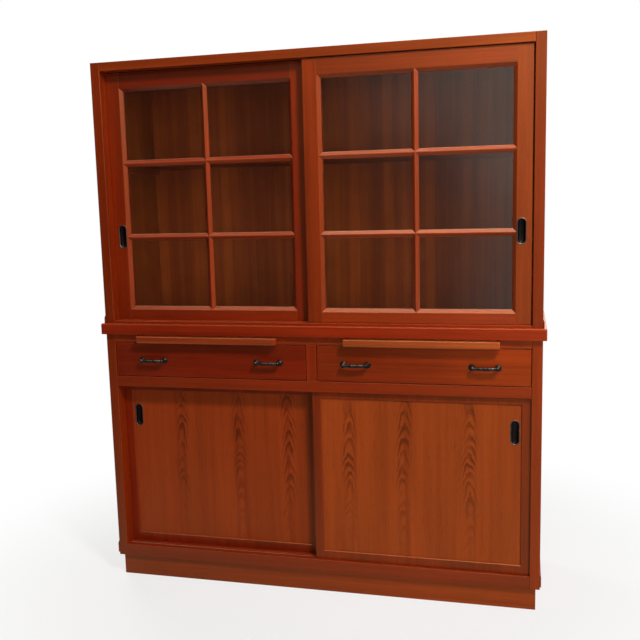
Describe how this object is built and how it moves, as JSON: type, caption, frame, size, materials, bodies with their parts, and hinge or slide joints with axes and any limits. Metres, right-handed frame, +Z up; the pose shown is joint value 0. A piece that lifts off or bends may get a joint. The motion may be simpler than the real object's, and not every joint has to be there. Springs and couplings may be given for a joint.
{
  "type": "kitchen cabinet",
  "caption": "Two-storey wooden kitchen cabinet: glazed sliding doors above a counter; pull-out boards, drawers and board sliding doors below.",
  "frame": {"origin": "on the floor, under the middle of the whole cabinet's bounding box", "axes": "+X to the cabinet's right as seen from the front, +Z up, the front faces -Y"},
  "size_m": [1.386, 0.41, 1.667],
  "materials": {
    "case_wood": "oiled red-brown lacquer, satin, worn edges",
    "door_wood": "oiled red-brown lacquer, satin",
    "drawer_wood": "oiled red-brown lacquer over bold grain, satin",
    "panel_wood": "oiled red-brown veneer with arched grain, satin",
    "interior_wood": "aged golden-brown softwood, matt",
    "box_wood": "plain pale softwood, matt",
    "grip_wood": "lighter red-brown, rubbed satin",
    "slip_wood": "pale rubbed slip strip",
    "plywood": "thin boarding, striped grain, matt",
    "glass": "clear, faintly uneven",
    "pull_metal": "dark antique patina",
    "black_iron": "blackened, rubbed bright on the grip"
  },
  "bodies": {
    "case": {"upper_side_left": "case_wood", "upper_side_right": "case_wood", "upper_head_rail": "case_wood", "upper_top_board": "interior_wood", "upper_back_panel": "plywood", "upper_sill": "case_wood", "upper_shelf": "interior_wood", "shelf_cleats": "interior_wood", "track_strips": "slip_wood", "side_battens": "case_wood", "counter_board": "case_wood", "lower_side_left": "case_wood", "lower_side_right": "case_wood", "middle_rail": "case_wood", "drawer_floor": "interior_wood", "drawer_divider": "case_wood", "board_floor": "case_wood", "board_guides": "case_wood", "lower_sill_rail": "case_wood", "lower_bottom_board": "interior_wood", "lower_back_panel": "plywood", "plinth": "case_wood"},
    "upper_door_left": {"upper_door_left_outer_stile": "door_wood", "upper_door_left_inner_stile": "door_wood", "upper_door_left_top_rail": "door_wood", "upper_door_left_bottom_rail": "door_wood", "upper_door_left_muntin_upright": "door_wood", "upper_door_left_muntin_bars": "door_wood", "upper_door_left_glass": "glass", "upper_door_left_pull": "pull_metal"},
    "lower_door_left": {"lower_door_left_frame": "door_wood", "lower_door_left_panel": "panel_wood", "lower_door_left_pull": "pull_metal"},
    "drawer_left": {"drawer_left_front": "drawer_wood", "drawer_left_left_side": "box_wood", "drawer_left_right_side": "box_wood", "drawer_left_back": "box_wood", "drawer_left_bottom": "box_wood", "drawer_left_pulls": "black_iron"},
    "serving_board_left": {"serving_left_board": "box_wood", "serving_left_grip": "grip_wood"},
    "upper_door_right": {"upper_door_right_outer_stile": "door_wood", "upper_door_right_inner_stile": "door_wood", "upper_door_right_top_rail": "door_wood", "upper_door_right_bottom_rail": "door_wood", "upper_door_right_muntin_upright": "door_wood", "upper_door_right_muntin_bars": "door_wood", "upper_door_right_glass": "glass", "upper_door_right_pull": "pull_metal"},
    "lower_door_right": {"lower_door_right_frame": "door_wood", "lower_door_right_panel": "panel_wood", "lower_door_right_pull": "pull_metal"},
    "drawer_right": {"drawer_right_front": "drawer_wood", "drawer_right_left_side": "box_wood", "drawer_right_right_side": "box_wood", "drawer_right_back": "box_wood", "drawer_right_bottom": "box_wood", "drawer_right_pulls": "black_iron"},
    "serving_board_right": {"serving_right_board": "box_wood", "serving_right_grip": "grip_wood"}
  },
  "joints": [
    {"name": "upper_door_left_slide", "type": "slide", "parent": "case", "child": "upper_door_left", "axis": [1, 0, 0], "range_m": [0, 0.647]},
    {"name": "upper_door_right_slide", "type": "slide", "parent": "case", "child": "upper_door_right", "axis": [-1, 0, 0], "range_m": [-0.003, 0.644]},
    {"name": "lower_door_left_slide", "type": "slide", "parent": "case", "child": "lower_door_left", "axis": [1, 0, 0], "range_m": [0, 0.649]},
    {"name": "lower_door_right_slide", "type": "slide", "parent": "case", "child": "lower_door_right", "axis": [-1, 0, 0], "range_m": [0, 0.649]},
    {"name": "drawer_left_slide", "type": "slide", "parent": "case", "child": "drawer_left", "axis": [0, -1, 0], "range_m": [0, 0.29]},
    {"name": "drawer_right_slide", "type": "slide", "parent": "case", "child": "drawer_right", "axis": [0, -1, 0], "range_m": [0, 0.29]},
    {"name": "serving_board_left_slide", "type": "slide", "parent": "case", "child": "serving_board_left", "axis": [0, -1, 0], "range_m": [0, 0.27]},
    {"name": "serving_board_right_slide", "type": "slide", "parent": "case", "child": "serving_board_right", "axis": [0, -1, 0], "range_m": [0, 0.27]}
  ]
}
